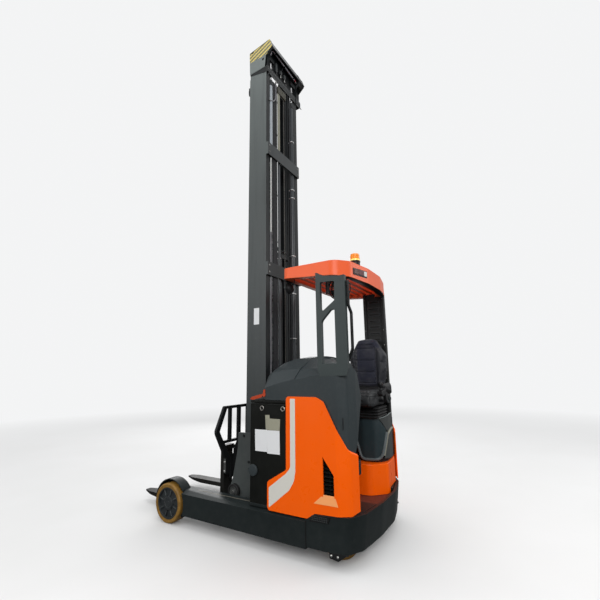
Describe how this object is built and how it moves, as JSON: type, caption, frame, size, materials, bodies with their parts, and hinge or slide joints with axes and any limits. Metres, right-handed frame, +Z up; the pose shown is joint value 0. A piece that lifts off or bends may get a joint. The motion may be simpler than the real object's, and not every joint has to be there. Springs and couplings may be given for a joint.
{
  "type": "reach truck",
  "caption": "Sit-on reach truck with two support legs, sliding three-stage mast, tilting forks, battery bay and operator cab under an overhead guard.",
  "frame": {"origin": "centre of the truck's plan box, on the floor", "axes": "+X towards the fork tips, +Y to the truck's left, +Z up"},
  "size_m": [2.716, 1.28, 5.1554],
  "materials": {
    "chassis_paint": "satin dark blue-grey",
    "hood_grey": "textured dark grey moulding",
    "orange_panel": "gloss orange",
    "guard_orange": "satin orange",
    "mast_grey": "satin grey-green",
    "black_steel": "satin black",
    "fork_steel": "forged, scuffed",
    "battery_black": "acid-proof black coating",
    "tread": "ochre polyurethane",
    "hub_dark": "painted casting",
    "seat_fabric": "woven blue-black",
    "seat_vinyl": "dark grey vinyl",
    "seat_shell": "grain moulded shell",
    "bellows_rubber": "matt folds",
    "floor_mat": "dark red mat",
    "black_plastic": "moulded black",
    "cylinder_khaki": "khaki grey tube",
    "chrome_rod": "ground chrome",
    "amber_lens": "amber dome"
  },
  "bodies": {
    "chassis": {"support_leg_left": "chassis_paint", "support_leg_right": "chassis_paint", "load_wheel_fenders": "chassis_paint", "rear_skirt": "chassis_paint", "deck_plate": "chassis_paint", "cross_frame": "chassis_paint", "battery_lid": "orange_panel", "motor_cover": "seat_shell", "cab_bulkhead": "black_steel", "battery": "battery_black", "hood": "hood_grey", "side_panel_left": "orange_panel", "side_panel_right": "orange_panel", "steering_console": "hood_grey", "cab_floor": "floor_mat", "seat_pedestal": "orange_panel", "overhead_guard": "guard_orange", "pillar_left": "hood_grey", "pillar_right": "black_steel", "seat_base": "seat_shell", "seat_bellows": "bellows_rubber", "seat_cushion": "seat_vinyl", "seat_backrest": "seat_fabric", "armrest": "seat_vinyl", "beacon": "amber_lens", "work_lamp": "black_plastic", "grab_bar": "black_steel"},
    "load_wheel_left": {"load_tyre_left": "tread", "load_hub_left": "hub_dark"},
    "load_wheel_right": {"load_tyre_right": "tread", "load_hub_right": "hub_dark"},
    "drive_unit": {"drive_housing": "black_steel", "drive_motor": "black_steel"},
    "drive_wheel": {"drive_tyre": "tread", "drive_hub": "hub_dark"},
    "caster": {"caster_fork": "black_steel"},
    "caster_wheel_pair": {"caster_wheels": "tread"},
    "steering_wheel_body": {"steering_wheel": "black_plastic"},
    "reach_unit": {"outer_mast": "mast_grey", "reach_carriage": "mast_grey", "lift_cylinders": "cylinder_khaki"},
    "middle_stage": {"middle_mast": "mast_grey", "lift_rods": "chrome_rod"},
    "inner_stage": {"inner_mast": "mast_grey", "free_lift_tube": "cylinder_khaki"},
    "free_lift_head": {"free_lift_rod": "chrome_rod"},
    "lift_slider": {"lift_carriage": "black_steel"},
    "tilt_frame": {"fork_carriage": "black_steel"},
    "fork_frame": {"forks": "fork_steel", "load_backrest": "black_steel"}
  },
  "joints": [
    {"name": "load_wheel_left_spin", "type": "hinge", "parent": "chassis", "child": "load_wheel_left", "pos_m": [0.62, 0.58, 0.175], "axis": [0, 1, 0], "continuous": true},
    {"name": "load_wheel_right_spin", "type": "hinge", "parent": "chassis", "child": "load_wheel_right", "pos_m": [0.62, -0.58, 0.175], "axis": [0, 1, 0], "continuous": true},
    {"name": "drive_steer", "type": "hinge", "parent": "chassis", "child": "drive_unit", "pos_m": [-1.08, 0.4, 0.17], "axis": [0, 0, 1], "range_deg": [-90, 90]},
    {"name": "drive_wheel_spin", "type": "hinge", "parent": "drive_unit", "child": "drive_wheel", "pos_m": [-1.08, 0.4, 0.17], "axis": [0, 1, 0], "continuous": true},
    {"name": "caster_swivel", "type": "hinge", "parent": "chassis", "child": "caster", "pos_m": [-1.06, -0.4, 0.2], "axis": [0, 0, 1], "continuous": true},
    {"name": "caster_wheel_spin", "type": "hinge", "parent": "caster", "child": "caster_wheel_pair", "pos_m": [-1.105, -0.4, 0.085], "axis": [0, 1, 0], "continuous": true},
    {"name": "steering_wheel_turn", "type": "hinge", "parent": "chassis", "child": "steering_wheel_body", "pos_m": [-1, 0.105, 1.415], "axis": [0, -0.342, 0.9397], "range_deg": [-720, 720]},
    {"name": "mast_reach", "type": "slide", "parent": "chassis", "child": "reach_unit", "axis": [1, 0, 0], "range_m": [0, 0.57]},
    {"name": "middle_mast_lift", "type": "slide", "parent": "reach_unit", "child": "middle_stage", "axis": [0, 0, 1], "range_m": [0, 4]},
    {"name": "inner_mast_lift", "type": "slide", "parent": "middle_stage", "child": "inner_stage", "axis": [0, 0, 1], "range_m": [0, 4]},
    {"name": "fork_lift", "type": "slide", "parent": "inner_stage", "child": "lift_slider", "axis": [0, 0, 1], "range_m": [0, 3.9]},
    {"name": "free_lift_rod_slide", "type": "slide", "parent": "inner_stage", "child": "free_lift_head", "axis": [0, 0, 1], "range_m": [0, 1.95]},
    {"name": "fork_tilt", "type": "hinge", "parent": "lift_slider", "child": "tilt_frame", "pos_m": [0.046, 0, 0.44], "axis": [0, -1, 0], "range_deg": [-2, 4]},
    {"name": "fork_side_shift", "type": "slide", "parent": "tilt_frame", "child": "fork_frame", "axis": [0, 1, 0], "range_m": [-0.05, 0.05]}
  ],
  "couplings": [
    {"joint": "inner_mast_lift", "follows": "middle_mast_lift", "ratio": 1},
    {"joint": "free_lift_rod_slide", "follows": "fork_lift", "ratio": 0.5},
    {"joint": "steering_wheel_turn", "follows": "drive_steer", "ratio": 8}
  ]
}
